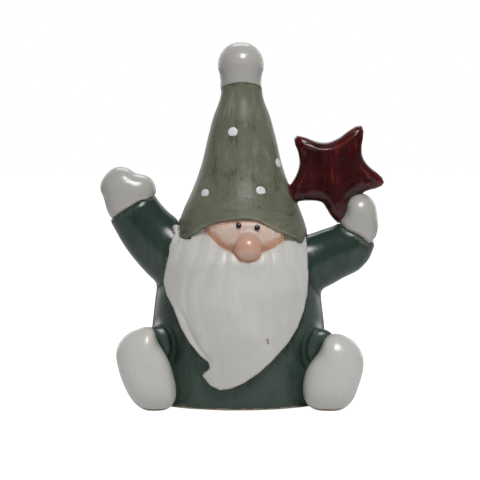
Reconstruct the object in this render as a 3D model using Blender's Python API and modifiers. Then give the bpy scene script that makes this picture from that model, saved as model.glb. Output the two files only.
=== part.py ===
"""A seated gnome figurine in glazed earthenware: the casts it is luted together from.

Frame: +Z up, the gnome looks along -Y, left and right are the gnome's own, so its left is +X.
The origin is the middle of its footprint on the table.
"""
import math

import bmesh
import bpy
from mathutils import Matrix, Vector

# All sizes and places below are in millimetres; MM turns them into the scene's metres.
MM = 0.001

HEIGHT = 160.0
JOINT_GAP = 0.3          # the slip joint between two casts
COAT_WALL = 3.6
HAT_WALL = 3.4
TURN_STEPS = 48

COAT_AXIS = (-1.2, 5.0)  # x, y of the body's upright axis
COAT_DEPTH = 0.80        # the body is this much shallower than it is wide
NECK_VENT = 9.0          # radius of the vent from the body into the hat
DRAIN_RADIUS = 5.0
BASE_THICKNESS = 4.5

HAT_AXIS = (0.4, 3.0)
HAT_TOP = 139.2
HAT_TOP_TILT = 18.0      # degrees: the ball's joint is higher at the front
BRIM_BOTTOM = 73.6
BRIM_ARCH_TOP = 82.6
BRIM_ARCH_RADIUS = 46.0
BRIM_ARCH_SHIFT = 1.2    # the arch sits a little to the gnome's left

POMPOM_RADIUS = 10.2
POMPOM_LEAN = -0.4  # the ball sits a little towards the gnome's right
NOSE_CENTRE = (3.0, -26.2, 70.3)
NOSE_RADIUS = 6.0
EYE_RADIUS = 1.25
EYE_FRONT = -22.6
EYE_PLACES = (("right_eye", -0.9, 79.9), ("left_eye", 6.9, 79.0))
DOT_RADIUS = 2.2

STAR_CENTRE = (41.4, 2.8, 103.0)
STAR_THICKNESS = 13.0
# The star's blunt points and the notches between them, as (degrees, radius) about its centre.
STAR_CORNERS = [(138, 26.4), (106, 11.2), (59, 27.2), (26, 12.2), (-13, 26.0), (-48, 13.6), (-83, 26.4),
                (-120, 14.2), (-149, 28.4), (168, 14.4)]

GLAZES = {
    "pine_glaze": ((0.040, 0.058, 0.050, 1.0), 0.12),
    "sage_glaze": ((0.125, 0.140, 0.095, 1.0), 0.15),
    "white_glaze": ((0.560, 0.550, 0.520, 1.0), 0.12),
    "cherry_glaze": ((0.060, 0.006, 0.009, 1.0), 0.10),
    "flesh_glaze": ((0.600, 0.330, 0.220, 1.0), 0.15),
    "black_enamel": ((0.005, 0.005, 0.005, 1.0), 0.10),
    "white_enamel": ((0.650, 0.660, 0.700, 1.0), 0.15),
    "bare_biscuit": ((0.600, 0.480, 0.360, 1.0), 0.85),
}


# ---------------------------------------------------------------- the scene and its collections

def clear_scene():
    for thing in list(bpy.data.objects):
        bpy.data.objects.remove(thing, do_unlink=True)


def new_collection(name):
    collection = bpy.data.collections.new(name)
    bpy.context.scene.collection.children.link(collection)
    return collection


clear_scene()
PARTS = new_collection("tomte_gnome_figurine")
CUTTERS = new_collection("cutters")


def glaze_material(name):
    """One Principled material for each glaze, made the first time a cast asks for it."""
    if name in bpy.data.materials:
        return bpy.data.materials[name]
    color, roughness = GLAZES[name]
    material = bpy.data.materials.new(name)
    material.use_nodes = True
    shader = material.node_tree.nodes["Principled BSDF"]
    shader.inputs["Base Color"].default_value = color
    shader.inputs["Roughness"].default_value = roughness
    shader.inputs["Metallic"].default_value = 0.0
    material.diffuse_color = color
    return material


def add_part(name, mesh, glaze):
    part = bpy.data.objects.new(name, mesh)
    PARTS.objects.link(part)
    mesh.materials.clear()
    mesh.materials.append(glaze_material(glaze))
    mesh.shade_smooth()
    mesh.set_sharp_from_angle(angle=math.radians(40.0))
    return part


def add_cutter(name, mesh):
    cutter = bpy.data.objects.new(name, mesh)
    cutter.display_type = "WIRE"
    cutter.hide_render = True
    CUTTERS.objects.link(cutter)
    return cutter


def mesh_from(bm, name):
    bmesh.ops.recalc_face_normals(bm, faces=bm.faces)
    mesh = bpy.data.meshes.new(name)
    bm.to_mesh(mesh)
    bm.free()
    return mesh


# ---------------------------------------------------------------- ways of cutting

def evaluated_mesh(thing):
    """The finished mesh of an object, in world space."""
    bpy.context.view_layer.update()
    graph = bpy.context.evaluated_depsgraph_get()
    mesh = bpy.data.meshes.new_from_object(thing.evaluated_get(graph))
    mesh.transform(thing.matrix_world)
    return mesh


def grown(thing, gap=JOINT_GAP):
    """A cutter in the shape of a finished cast, swollen by the joint's gap."""
    mesh = evaluated_mesh(thing)
    bm = bmesh.new()
    bm.from_mesh(mesh)
    bmesh.ops.remove_doubles(bm, verts=bm.verts, dist=1e-6)
    bm.normal_update()
    pushes = [vert.normal * gap * MM for vert in bm.verts]
    for vert, push in zip(bm.verts, pushes):
        vert.co += push
    bm.to_mesh(mesh)
    bm.free()
    return add_cutter(thing.name + "_cutter", mesh)


def boolean(part, cutter, operation="DIFFERENCE", solver="EXACT"):
    modifier = part.modifiers.new(operation.lower() + "_" + cutter.name, "BOOLEAN")
    modifier.operation = operation
    modifier.solver = solver
    modifier.object = cutter


def block(name, low, high, matrix=Matrix()):
    """A box cutter between two corners, then turned and moved by a matrix."""
    bm = bmesh.new()
    bmesh.ops.create_cube(bm, size=1.0)
    middle = (Vector(low) + Vector(high)) / 2.0 * MM
    size = (Vector(high) - Vector(low)) * MM
    bmesh.ops.scale(bm, vec=size, verts=bm.verts)
    bmesh.ops.translate(bm, vec=middle, verts=bm.verts)
    bmesh.ops.transform(bm, matrix=matrix, verts=bm.verts)
    return add_cutter(name, mesh_from(bm, name))


# ---------------------------------------------------------------- ways of shaping

def smooth_values(knots, count):
    """Points on a Catmull-Rom curve through the knots, ends included."""
    points = []
    for step in range(count):
        place = step / (count - 1) * (len(knots) - 1)
        first = min(int(place), len(knots) - 2)
        along = place - first
        before = knots[max(first - 1, 0)]
        start, stop = knots[first], knots[first + 1]
        after = knots[min(first + 2, len(knots) - 1)]
        points.append(tuple(catmull(a, b, c, d, along) for a, b, c, d in zip(before, start, stop, after)))
    return points


def catmull(before, start, stop, after, along):
    return 0.5 * (2.0 * start + (stop - before) * along
                  + (2.0 * before - 5.0 * start + 4.0 * stop - after) * along ** 2
                  + (3.0 * start - before - 3.0 * stop + after) * along ** 3)


def turned(name, profile, axis, depth, steps=TURN_STEPS):
    """A mesh turned by a Screw modifier from (radius, z) points, then squeezed front to back."""
    bm = bmesh.new()
    verts = [bm.verts.new((radius * MM, 0.0, z * MM)) for radius, z in profile]
    loop = verts if profile[0][0] == 0.0 else verts + verts[:1]
    for first, second in zip(loop, loop[1:]):
        bm.edges.new((first, second))
    mesh = bpy.data.meshes.new(name)
    bm.to_mesh(mesh)
    bm.free()
    blank = bpy.data.objects.new(name + "_profile", mesh)
    CUTTERS.objects.link(blank)
    screw = blank.modifiers.new("turn", "SCREW")
    screw.steps = steps
    screw.render_steps = steps
    screw.use_merge_vertices = True
    screw.merge_threshold = 0.00001
    blank.scale = (1.0, depth, 1.0)
    blank.location = (axis[0] * MM, axis[1] * MM, 0.0)
    solid = evaluated_mesh(blank)
    bpy.data.objects.remove(blank, do_unlink=True)
    return solid


def polar_outline(points, centre):
    """A radius for every angle, running smoothly through (x, z) points about a centre."""
    polar = sorted((math.atan2(z - centre[2], x - centre[0]), math.hypot(x - centre[0], z - centre[2]))
                   for x, z in points)
    count = len(polar)

    def radius(angle):
        after = next((i for i, (a, _) in enumerate(polar) if a > angle), count)
        ring = [polar[(after + k) % count] for k in (-2, -1, 0, 1)]
        span = (ring[2][0] - ring[1][0]) % math.tau
        along = ((angle - ring[1][0]) % math.tau) / span
        return catmull(*(r for _, r in ring), along)

    return radius


def pillow(name, centre, points, half_depth, fullness, segments=34, rings=10):
    """A soft form with a drawn front outline, started from a sphere lying on its side.

    fullness 2 gives an ellipsoid's edge, and more gives a flatter front with rounder shoulders.
    """
    radius = polar_outline(points, centre)
    bm = bmesh.new()
    bmesh.ops.create_uvsphere(bm, u_segments=segments, v_segments=rings, radius=1.0)
    for vert in bm.verts:
        flat = math.hypot(vert.co.x, vert.co.y)
        angle = math.atan2(vert.co.y, vert.co.x)
        spread = flat ** (2.0 / fullness) * radius(angle)
        rise = math.copysign(abs(vert.co.z) ** (2.0 / fullness), vert.co.z) * half_depth
        vert.co = Vector((centre[0] + spread * math.cos(angle), centre[1] - rise,
                          centre[2] + spread * math.sin(angle))) * MM
    return mesh_from(bm, name)


def ball(name, centre, radius, squash=(1.0, 1.0, 1.0), segments=20, rings=12):
    bm = bmesh.new()
    bmesh.ops.create_uvsphere(bm, u_segments=segments, v_segments=rings, radius=radius * MM)
    bmesh.ops.scale(bm, vec=squash, verts=bm.verts)
    bmesh.ops.translate(bm, vec=Vector(centre) * MM, verts=bm.verts)
    return mesh_from(bm, name)


def limb(name, knots, depth, swell=0.0, stations=11):
    """A tube with capped ends through (x, y, z, radius) knots, squeezed front to back about its start.

    swell makes it fatter, and longer at its far end, for use as a cutter.
    """
    curve = bpy.data.curves.new(name, "CURVE")
    curve.dimensions = "3D"
    curve.bevel_depth = 1.0 * MM
    curve.bevel_resolution = 8
    curve.use_fill_caps = True
    spline = curve.splines.new("POLY")
    route = [(x, y, z, radius + swell) for x, y, z, radius in smooth_values(knots, stations)]
    end, before = Vector(route[-1][:3]), Vector(route[-2][:3])
    route[-1] = (*(end + (end - before).normalized() * swell), route[-1][3])
    spline.points.add(len(route) - 1)
    for point, (x, y, z, radius) in zip(spline.points, route):
        point.co = (x * MM, (y - knots[0][1]) * MM, z * MM, 1.0)
        point.radius = radius
    tube = bpy.data.objects.new(name + "_curve", curve)
    CUTTERS.objects.link(tube)
    tube.scale = (1.0, depth, 1.0)
    tube.location = (0.0, knots[0][1] * MM, 0.0)
    mesh = evaluated_mesh(tube)
    bpy.data.objects.remove(tube, do_unlink=True)
    bm = bmesh.new()
    bm.from_mesh(mesh)
    bmesh.ops.remove_doubles(bm, verts=bm.verts, dist=1e-6)
    bmesh.ops.recalc_face_normals(bm, faces=bm.faces)
    bm.to_mesh(mesh)
    bm.free()
    return mesh


def flat_outline(name, points, front, back):
    """A mesh plate with an (x, z) outline, from y = front to y = back."""
    bm = bmesh.new()
    face = bm.faces.new([bm.verts.new((x * MM, front * MM, z * MM)) for x, z in points])
    extruded = bmesh.ops.extrude_face_region(bm, geom=[face])["geom"]
    verts = [item for item in extruded if isinstance(item, bmesh.types.BMVert)]
    bmesh.ops.translate(bm, vec=(0.0, (back - front) * MM, 0.0), verts=verts)
    return mesh_from(bm, name)


# ---------------------------------------------------------------- body, base and hat

# The outside of the body from neck to foot, as (radius, z).
COAT_OUTSIDE = [(13.0, 87.0), (16.2, 84.0), (19.0, 79.0), (22.0, 73.4), (30.4, 66.0), (34.6, 58.5),
                (36.6, 50.0), (37.3, 43.0), (38.2, 36.0), (39.0, 27.0), (39.3, 16.0), (39.0, 6.0),
                (38.3, 1.6), (36.8, 0.0)]

# The outside of the hat from its top to the brim's lower lip.
HAT_OUTSIDE = [(8.6, 144.0), (8.9, 138.8), (9.9, 134.2), (12.4, 127.2), (15.3, 116.5), (17.9, 106.0),
               (20.1, 99.0), (22.6, 92.6), (25.4, 87.0), (27.7, 81.0), (28.8, 77.0), (28.8, 75.0),
               (27.8, BRIM_BOTTOM)]


def inside_of(outside, wall):
    """The plainer inner wall of a turned cast, running back up from the lip."""
    return [(radius - wall, z) for radius, z in outside[::-2]]


def solid_cutter(name, outside, axis, depth):
    """The filled outside of a hollow cast, swollen by the joint's gap: what its neighbours are cut to."""
    swollen = [(radius + JOINT_GAP, z) for radius, z in outside]
    top = (swollen[0][0], swollen[0][1] + JOINT_GAP)
    bottom = (swollen[-1][0], swollen[-1][1] - JOINT_GAP)
    profile = [(0.0, top[1]), top] + swollen + [bottom, (0.0, bottom[1])]
    return add_cutter(name, turned(name, profile, axis, depth))


def make_coat():
    inner = inside_of(COAT_OUTSIDE[3:], COAT_WALL)
    profile = COAT_OUTSIDE + inner + [(NECK_VENT + 4.0, 79.0), (NECK_VENT, 84.0), (NECK_VENT, 86.5)]
    return add_part("coat_shell", turned("coat_shell", profile, COAT_AXIS, COAT_DEPTH), "pine_glaze")


def make_base_plate():
    """The slab inside the body's foot, flush with it below."""
    outer = COAT_OUTSIDE[-1][0] - COAT_WALL - JOINT_GAP
    profile = [(outer, BASE_THICKNESS), (outer, 0.0), (DRAIN_RADIUS, 0.0), (DRAIN_RADIUS, BASE_THICKNESS)]
    return add_part("base_plate", turned("base_plate", profile, COAT_AXIS, COAT_DEPTH), "bare_biscuit")


def tilted_block(name, low, high):
    """A box whose lower or upper side lies in the sloping joint under the ball."""
    pivot = Matrix.Translation(Vector((HAT_AXIS[0], HAT_AXIS[1], HAT_TOP)) * MM)
    tilt = Matrix.Rotation(math.radians(-HAT_TOP_TILT), 4, "X")
    return block(name, low, high, pivot @ tilt)


def make_hat():
    inner = inside_of(HAT_OUTSIDE[2:], HAT_WALL)
    profile = [(0.0, HAT_OUTSIDE[0][1])] + HAT_OUTSIDE + inner + [(0.0, HAT_OUTSIDE[2][1] - 1.0)]
    mesh = turned("hat_shell", profile, HAT_AXIS, 1.0)
    hat = add_part("hat_shell", mesh, "sage_glaze")
    boolean(hat, tilted_block("above_hat", (-30, -30, -JOINT_GAP / 2), (30, 30, 30)))
    boolean(hat, brim_arch("brim_arch", BRIM_ARCH_RADIUS))
    hat_cutter = solid_cutter("hat_solid", HAT_OUTSIDE, HAT_AXIS, 1.0)
    boolean(hat_cutter, brim_arch("brim_arch_inner", BRIM_ARCH_RADIUS - JOINT_GAP))
    return hat_cutter


def brim_arch(name, radius):
    """The drum that scoops the brim's front edge up over the face."""
    bm = bmesh.new()
    bmesh.ops.create_cone(bm, cap_ends=True, segments=72, radius1=radius * MM, radius2=radius * MM,
                          depth=60 * MM)
    bmesh.ops.rotate(bm, cent=(0, 0, 0), matrix=Matrix.Rotation(math.radians(90.0), 3, "X"), verts=bm.verts)
    centre = (HAT_AXIS[0] + BRIM_ARCH_SHIFT, HAT_AXIS[1] - 31.0, BRIM_ARCH_TOP - BRIM_ARCH_RADIUS)
    bmesh.ops.translate(bm, vec=Vector(centre) * MM, verts=bm.verts)
    return add_cutter(name, mesh_from(bm, name))


def make_pompom():
    """The ball with the short neck that it sits on the hat by."""
    centre = HEIGHT - POMPOM_RADIUS
    arc = []
    for step in range(10):
        angle = math.radians(90.0 - 12.5 * step)
        arc.append((POMPOM_RADIUS * math.cos(angle), centre + POMPOM_RADIUS * math.sin(angle)))
    arc[0] = (0.0, HEIGHT)
    profile = arc + [(9.2, 142.8), (8.9, 138.8), (9.4, 134.0), (0.0, 134.0)]
    axis = (HAT_AXIS[0] + POMPOM_LEAN, HAT_AXIS[1])
    ball_part = add_part("pompom", turned("pompom", profile, axis, 1.0, 32), "white_glaze")
    boolean(ball_part, tilted_block("below_pompom", (-30, -30, -30), (30, 30, JOINT_GAP / 2)))
    return ball_part


# ---------------------------------------------------------------- arms, mittens and star

# Each sleeve from inside the body out to its wrist, as (x, y, z, radius).
SLEEVES = {
    "right_sleeve": [(-18, 3, 60, 16), (-29, 3, 66, 15.4), (-36.2, 2.5, 71.2, 13.5), (-42.6, 2, 78.2, 12.3),
                     (-48.6, 2, 87.4, 11.2)],
    "left_sleeve": [(18, 3, 60, 14.5), (31, 3, 62.1, 12.9), (40.6, 2.5, 66.3, 11.8), (47.2, 2, 69.5, 11.4),
                    (51.0, 2, 75.8, 9.4)],
}
SLEEVE_DEPTH = 0.86


def make_sleeve(name):
    """A sleeve, and the cutter that shapes what it touches."""
    sleeve = add_part(name, limb(name, SLEEVES[name], SLEEVE_DEPTH), "pine_glaze")
    cutter_name = name + "_cutter"
    return sleeve, add_cutter(cutter_name, limb(cutter_name, SLEEVES[name], SLEEVE_DEPTH, JOINT_GAP))


def make_right_mitten():
    centre = (-49.5, 2.0, 93.0)
    outline = [(-53.6, 105.0), (-59.2, 102.4), (-62.4, 96.6), (-60.6, 90.5), (-58.6, 84.0), (-54.0, 79.0),
               (-47.0, 80.0), (-40.0, 84.0), (-38.2, 90.5), (-37.6, 95.0), (-39.2, 99.2), (-42.4, 101.2),
               (-46.4, 102.0)]
    mesh = pillow("right_mitten", centre, outline, 9.6, 2.5)
    return add_part("right_mitten", mesh, "white_glaze")


def make_left_mitten():
    centre = (52.0, 2.0, 81.0)
    outline = [(43.2, 79.0), (46.6, 84.6), (48.2, 91.2), (52.4, 93.0), (57.0, 91.6), (60.4, 83.0),
               (59.6, 74.0), (57.0, 68.0), (50.0, 69.0), (44.5, 73.0)]
    mesh = pillow("left_mitten", centre, outline, 9.8, 2.6)
    return add_part("left_mitten", mesh, "white_glaze")


def rounded_corners(points, keeps):
    """Corner cutting: each round swaps every corner for two points on its sides."""
    for keep in keeps:
        following = points[1:] + points[:1]
        points = [(a * share + c * (1.0 - share), b * share + d * (1.0 - share))
                  for (a, b), (c, d) in zip(points, following) for share in (keep, 1.0 - keep)]
    return points


def make_star():
    """A thick five-pointed star with blunt points, its faces swelling from rounded rims."""
    corners = [(STAR_CENTRE[0] + radius * math.cos(math.radians(angle)),
                STAR_CENTRE[2] + radius * math.sin(math.radians(angle))) for angle, radius in STAR_CORNERS]
    outline = rounded_corners(corners, (0.78, 0.75))
    mesh = pillow("star", STAR_CENTRE, outline, STAR_THICKNESS / 2, 4.0, 70, 10)
    return add_part("star", mesh, "cherry_glaze")


# ---------------------------------------------------------------- legs and feet

def make_feet():
    right_outline = [(-38.4, 36.8), (-43.0, 35.6), (-50.2, 32.4), (-53.9, 25.8), (-53.4, 19.0), (-51.8, 13.6),
                     (-49.4, 8.2), (-45.5, 2.8), (-41.5, 0.0), (-37.0, -0.6), (-32.0, 0.2), (-28.4, 3.6),
                     (-28.0, 9.0), (-29.2, 15.0), (-31.2, 21.5), (-34.4, 26.8), (-36.8, 31.0)]
    left_outline = [(39.0, 33.4), (45.5, 32.2), (49.8, 29.2), (52.4, 24.8), (53.2, 20.0), (52.2, 14.6),
                    (50.6, 9.4), (48.6, 4.4), (45.4, 1.2), (41.8, -0.4), (37.6, -0.6), (33.0, -0.2),
                    (28.6, 2.4), (26.8, 7.6), (27.0, 13.0), (28.6, 18.2), (31.6, 22.6), (34.4, 26.2),
                    (36.0, 30.6)]
    right = pillow("right_foot", (-41.0, -25.5, 18.0), right_outline, 10.6, 2.3)
    left = pillow("left_foot", (40.4, -25.5, 16.6), left_outline, 10.6, 2.3)
    return [add_part("right_foot", right, "white_glaze"), add_part("left_foot", left, "white_glaze")]


def make_legs():
    right = ball("right_leg", (-36.0, -12.0, 26.2), 9.2, (0.92, 1.15, 1.05))
    left = ball("left_leg", (34.4, -12.0, 24.8), 9.2, (0.92, 1.15, 1.05))
    return [add_part("right_leg", right, "pine_glaze"), add_part("left_leg", left, "pine_glaze")]


# ---------------------------------------------------------------- face and beard

def make_face():
    centre = (2.0, -12.0, 76.0)
    outline = [(-15.5, 80.5), (-8.0, 84.0), (2.0, 85.0), (12.0, 83.5), (19.0, 78.5), (18.4, 72.0),
               (11.6, 65.4), (3.4, 62.2), (-6.4, 66.0), (-13.5, 72.5)]
    return add_part("face", pillow("face", centre, outline, 11.6, 2.8), "flesh_glaze")


def make_nose():
    return add_part("nose", ball("nose", NOSE_CENTRE, NOSE_RADIUS, (1.0, 1.0, 0.97)), "flesh_glaze")


def make_eyes():
    return [add_part(name, ball(name, (x, EYE_FRONT, z), EYE_RADIUS, (1.0, 0.9, 1.0), 14, 8), "black_enamel")
            for name, x, z in EYE_PLACES]


# The beard's outline seen from the front: from beside the brim down to the curl, up again, and back
# along the brim and the edge of the face.
BEARD_OUTLINE = [(-28.8, 79.0), (-30.0, 79.4), (-30.8, 75.0), (-31.4, 67.0), (-33.0, 60.0),
                 (-33.8, 55.0), (-32.4, 49.5), (-29.2, 44.0), (-26.0, 36.0), (-22.4, 30.0), (-17.6, 24.4), (-13.8, 21.4), (-13.4, 18.6),
                 (-16.6, 15.6), (-13.4, 11.6), (-9.0, 9.6), (-4.0, 10.4), (1.6, 12.8), (7.6, 16.8),
                 (13.0, 21.6),
                 (20.4, 29.6), (24.6, 36.0), (27.2, 43.0), (28.8, 50.0), (29.4, 57.0), (29.0, 65.0),
                 (28.8, 74.0), (24.0, 77.5), (18.6, 79.5), (18.0, 74.5), (15.0, 70.4), (9.4, 68.2),
                 (3.2, 66.0), (-4.0, 68.0), (-9.0, 70.4), (-13.0, 74.2), (-15.0, 81.0), (-25.0, 76.6),
                 (-28.2, 74.6)]

# The fuller body that the beard's front lies on, as (z, half width, half depth).
BEARD_SECTIONS = [(84.0, 28.0, 20.0), (80.0, 31.0, 22.5), (75.5, 32.0, 24.5), (72.0, 33.4, 27.5),
                  (68.0, 35.6, 31.0), (63.0, 37.6, 33.0), (57.0, 39.4, 33.8), (50.0, 40.6, 34.2),
                  (42.0, 41.2, 34.6), (34.0, 41.6, 34.8), (25.0, 41.4, 34.6), (15.0, 41.0, 34.2),
                  (8.0, 40.6, 34.0)]


def stacked(name, sections, axis, sides=TURN_STEPS):
    """A loft through upright-stacked ellipses of changing width and depth, top to bottom."""
    bm = bmesh.new()
    rings = []
    for z, half_width, half_depth in sections:
        turns = [math.tau * step / sides for step in range(sides)]
        rings.append([bm.verts.new(Vector((axis[0] + half_width * math.cos(turn),
                                           axis[1] + half_depth * math.sin(turn), z)) * MM)
                      for turn in turns])
    for upper, lower in zip(rings, rings[1:]):
        for step in range(sides):
            following = (step + 1) % sides
            bm.faces.new((upper[step], lower[step], lower[following], upper[following]))
    bm.faces.new(rings[0])
    bm.faces.new(rings[-1])
    return mesh_from(bm, name)


def make_beard():
    """The part of a fuller body that lies inside the drawn outline, in front."""
    axis = (COAT_AXIS[0], COAT_AXIS[1] - 1.0)
    beard = add_part("beard", stacked("beard", BEARD_SECTIONS, axis), "white_glaze")
    outline = add_cutter("beard_outline", flat_outline("beard_outline", BEARD_OUTLINE, -60.0, -2.0))
    boolean(beard, outline, "INTERSECT")
    return beard


# ---------------------------------------------------------------- raised dots

# Where each dot sits on the hat: degrees round from the front towards the gnome's left, and z.
DOT_PLACES = [(-16.0, 120.0), (-46.0, 93.2), (22.0, 94.4), (64.0, 106.2), (118.0, 121.0), (112.0, 90.0),
              (156.0, 104.0), (-166.0, 86.0), (-120.0, 98.0), (-132.0, 121.0)]


def hat_radius(z):
    for (upper, above), (lower, below) in zip(HAT_OUTSIDE, HAT_OUTSIDE[1:]):
        if below <= z <= above:
            return upper + (lower - upper) * (above - z) / (above - below)
    return HAT_OUTSIDE[-1][0]


def make_dots():
    dots = []
    for number, (around, z) in enumerate(DOT_PLACES, start=1):
        turn = math.radians(around)
        radius = hat_radius(z)
        place = (HAT_AXIS[0] + radius * math.sin(turn), HAT_AXIS[1] - radius * math.cos(turn), z)
        name = "hat_dot_%d" % number
        bm = bmesh.new()
        bmesh.ops.create_uvsphere(bm, u_segments=12, v_segments=6, radius=DOT_RADIUS * MM)
        bmesh.ops.scale(bm, vec=(1.0, 0.42, 1.0), verts=bm.verts)
        bmesh.ops.rotate(bm, cent=(0, 0, 0), matrix=Matrix.Rotation(turn, 3, "Z"), verts=bm.verts)
        bmesh.ops.translate(bm, vec=Vector(place) * MM, verts=bm.verts)
        dots.append(add_part(name, mesh_from(bm, name), "white_enamel"))
    return dots


# ---------------------------------------------------------------- the whole figure

def cut_all(parts, cutters, solver="EXACT"):
    for part in parts:
        for cutter in cutters:
            boolean(part, cutter, solver=solver)


def main():
    """Each cast is made whole, then cut to the casts it is luted to."""
    floor = block("floor", (-90, -90, -20), (90, 90, 0))
    make_coat()
    coat_cutter = solid_cutter("coat_solid", COAT_OUTSIDE, COAT_AXIS, COAT_DEPTH)
    make_base_plate()
    hat_cutter = make_hat()
    make_pompom()

    right_sleeve, right_sleeve_cutter = make_sleeve("right_sleeve")
    left_sleeve, left_sleeve_cutter = make_sleeve("left_sleeve")
    cut_all([right_sleeve, left_sleeve], [coat_cutter, hat_cutter])
    right_mitten = make_right_mitten()
    left_mitten = make_left_mitten()
    left_mitten_cutter = grown(left_mitten)
    cut_all([right_mitten], [right_sleeve_cutter])
    cut_all([left_mitten], [left_sleeve_cutter])
    cut_all([make_star()], [hat_cutter, left_sleeve_cutter, left_mitten_cutter])

    feet = make_feet()
    for leg, foot in zip(make_legs(), feet):
        cut_all([leg], [coat_cutter, grown(foot)])
    cut_all(feet, [floor, coat_cutter])

    face = make_face()
    face_cutter = grown(face)
    nose_cutter = grown(make_nose())
    cut_all([face], [coat_cutter, hat_cutter, nose_cutter])
    cut_all(make_eyes(), [face_cutter])
    beard = make_beard()
    cut_all([beard], [coat_cutter, hat_cutter, nose_cutter, face_cutter])
    cut_all([beard], [right_sleeve_cutter, left_sleeve_cutter], solver="MANIFOLD")
    cut_all(make_dots(), [hat_cutter])


main()
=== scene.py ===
# %% [markdown]
# # A seated tomte in painted, glazed earthenware
# The figurine is slip cast: liquid clay is poured into a plaster mould, the skin that dries against
# the plaster becomes the body, and the parts are joined, fired, painted with coloured glazes by
# brush and fired again. Everything below follows that order. First comes the bare cast, as an even
# net of small faces taken from the frame's solids. Then come the marks of the maker's hands, and
# then the glazes, which lie thin on edges, pool in corners and shine.

import math

import bmesh
import bpy
import numpy as np
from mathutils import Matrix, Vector, noise
from mathutils.bvhtree import BVHTree
from mathutils.kdtree import KDTree


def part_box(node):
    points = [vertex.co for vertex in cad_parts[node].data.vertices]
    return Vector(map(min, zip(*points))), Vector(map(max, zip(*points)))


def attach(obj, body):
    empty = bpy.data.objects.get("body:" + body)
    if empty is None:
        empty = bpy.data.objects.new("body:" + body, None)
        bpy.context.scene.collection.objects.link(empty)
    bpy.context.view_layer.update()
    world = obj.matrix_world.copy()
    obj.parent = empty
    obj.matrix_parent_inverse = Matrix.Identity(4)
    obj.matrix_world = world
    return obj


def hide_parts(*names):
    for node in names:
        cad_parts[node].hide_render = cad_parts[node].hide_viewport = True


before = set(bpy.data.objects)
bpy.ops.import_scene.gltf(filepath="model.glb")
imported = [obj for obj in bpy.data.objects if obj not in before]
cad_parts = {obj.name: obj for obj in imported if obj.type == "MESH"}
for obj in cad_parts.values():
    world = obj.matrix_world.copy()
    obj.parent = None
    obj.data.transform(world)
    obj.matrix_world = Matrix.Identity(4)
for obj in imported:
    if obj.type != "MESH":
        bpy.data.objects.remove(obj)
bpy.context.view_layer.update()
MM = 0.001

# %% [markdown]
# ## The bare cast
# A solid from the frame has long flat facets, and shiny glaze would show every one of them. A voxel
# remesh turns the solid into an even net of half-millimetre faces. The same remesh joins solids that
# were one casting on the real object, which the coat, its sleeves and the trouser legs are.

# %% Copies of the frame's solids
WELD = 0.002 * MM


def new_piece(name, work):
    """Turns a bmesh into an object of the scene."""
    mesh = bpy.data.meshes.new(name)
    work.to_mesh(mesh)
    work.free()
    piece = bpy.data.objects.new(name, mesh)
    bpy.context.collection.objects.link(piece)
    return piece


def solid_copy(name, nodes):
    """One new object that holds welded copies of the given frame solids."""
    work = bmesh.new()
    for node_name in nodes:
        work.from_mesh(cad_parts[node_name].data)
    bmesh.ops.remove_doubles(work, verts=work.verts, dist=WELD)
    return new_piece(name, work)


def remeshed(piece, voxel):
    """Rebuilds a closed piece as an even net of faces about one voxel wide."""
    even_net = piece.modifiers.new("even_net", "REMESH")
    even_net.mode = "VOXEL"
    even_net.voxel_size = voxel
    shaped = piece.evaluated_get(bpy.context.evaluated_depsgraph_get())
    net = bpy.data.meshes.new_from_object(shaped)
    piece.modifiers.clear()
    piece.data = net
    return piece


# %% [markdown]
# The shaping is done on whole arrays of points at once, because a piece has up to a hundred thousand
# of them. A piece is read into numpy, worked on, and written back.

# %% Points, normals and edges as arrays
def points_of(piece):
    flat = np.empty(len(piece.data.vertices) * 3)
    piece.data.vertices.foreach_get("co", flat)
    return flat.reshape(-1, 3)


def normals_of(piece):
    flat = np.empty(len(piece.data.vertices) * 3)
    piece.data.vertex_normals.foreach_get("vector", flat)
    return flat.reshape(-1, 3)


def edges_of(piece):
    flat = np.empty(len(piece.data.edges) * 2, dtype=np.int32)
    piece.data.edges.foreach_get("vertices", flat)
    return flat.reshape(-1, 2)


def move_points(piece, points):
    piece.data.vertices.foreach_set("co", points.ravel())
    piece.data.update()


def pushed(piece, points, amount):
    """The points moved along the piece's normals, each by its own amount."""
    return points + normals_of(piece) * amount[:, None]


# %% [markdown]
# A damp sponge takes the corners off a dry casting, and averaging each point with its neighbours does
# the same. In `sponged`, every second step pushes back a little (Taubin's method), so the piece
# doesn't shrink, but wide facets outlast it. `melted` only averages, until the facets are one curve,
# then gives back what the piece lost, evened out along its normals. Real edges would melt away in
# so many rounds, so points that already stand on an edge are held while the flats are smoothed.

# %% Soft slopes and ridges
def step(values, low, high):
    """0 below low, 1 above high, and a soft slope between."""
    part = np.clip((values - low) / (high - low), 0.0, 1.0)
    return part * part * (3.0 - 2.0 * part)


def beside(gap, full, none):
    """1 where a gap is narrower than full, 0 where it is wider than none."""
    return 1.0 - step(gap, full, none)


def ridge(values, middle, width):
    """A rounded hump, 1 high at the middle."""
    return np.exp(-((values - middle) / width) ** 2)


# %% Sponging and melting
SPONGE_IN = 0.5
SPONGE_OUT = -0.51
SWELL_ROUNDS = 40


def neighbour_mean(values, edges):
    """Each point's value averaged over the points next to it in the net."""
    one, two = edges[:, 0], edges[:, 1]
    amount = len(values)
    count = np.bincount(edges.ravel(), minlength=amount)
    columns = []
    for column in values.reshape(amount, -1).T:
        total = np.bincount(one, column[two], amount) + np.bincount(two, column[one], amount)
        columns.append(total / count)
    return np.column_stack(columns).reshape(values.shape)


def sponged(points, edges, rounds, where=None):
    """The points after some rounds of smoothing, held back where the mask is low."""
    mask = 1.0 if where is None else where[:, None]
    for _ in range(rounds):
        for pull in (SPONGE_IN, SPONGE_OUT):
            points = points + pull * mask * (neighbour_mean(points, edges) - points)
    return points


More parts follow.
